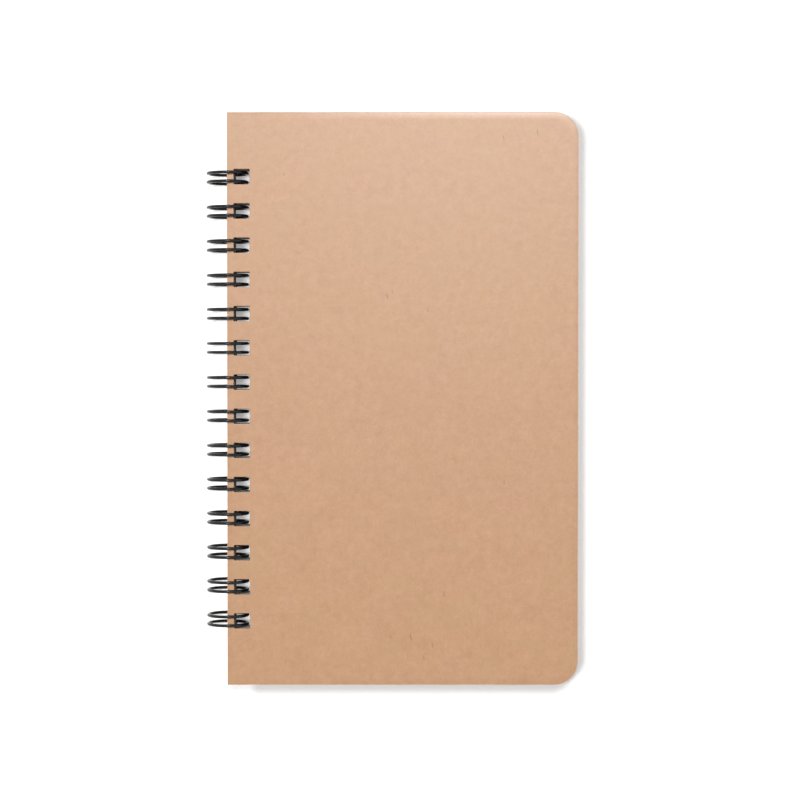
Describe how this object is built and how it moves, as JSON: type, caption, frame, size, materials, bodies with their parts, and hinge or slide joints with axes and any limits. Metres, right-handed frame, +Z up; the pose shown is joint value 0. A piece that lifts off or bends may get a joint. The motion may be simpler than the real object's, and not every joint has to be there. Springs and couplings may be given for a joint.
{
  "type": "spiral notebook",
  "caption": "Ring-bound notebook with plain brown board covers, rounded fore-edge corners and a black twin-loop wire, closed and lying flat.",
  "frame": {"origin": "under the middle of the closed book, on the surface that it lies on", "axes": "+Z up out of the front cover, +X from the wire loops to the fore edge, +Y from the tail of the page to its head"},
  "size_m": [0.1386, 0.213, 0.0159],
  "materials": {
    "cover_board": "matt brown kraft board",
    "sheets": "uncoated off-white",
    "binding_wire": "satin black coating on steel wire"
  },
  "bodies": {
    "base": {"back_cover": "cover_board", "wire_binding": "binding_wire"},
    "pages": {"page_block": "sheets"},
    "front": {"front_cover": "cover_board"}
  },
  "joints": [
    {"name": "pages_turn", "type": "hinge", "parent": "base", "child": "pages", "pos_m": [-0.06138, 0, 0.00795], "axis": [0, -1, 0], "range_deg": [0, 180]},
    {"name": "front_cover_turn", "type": "hinge", "parent": "pages", "child": "front", "pos_m": [-0.06138, 0, 0.00795], "axis": [0, -1, 0], "range_deg": [0, 180]}
  ]
}
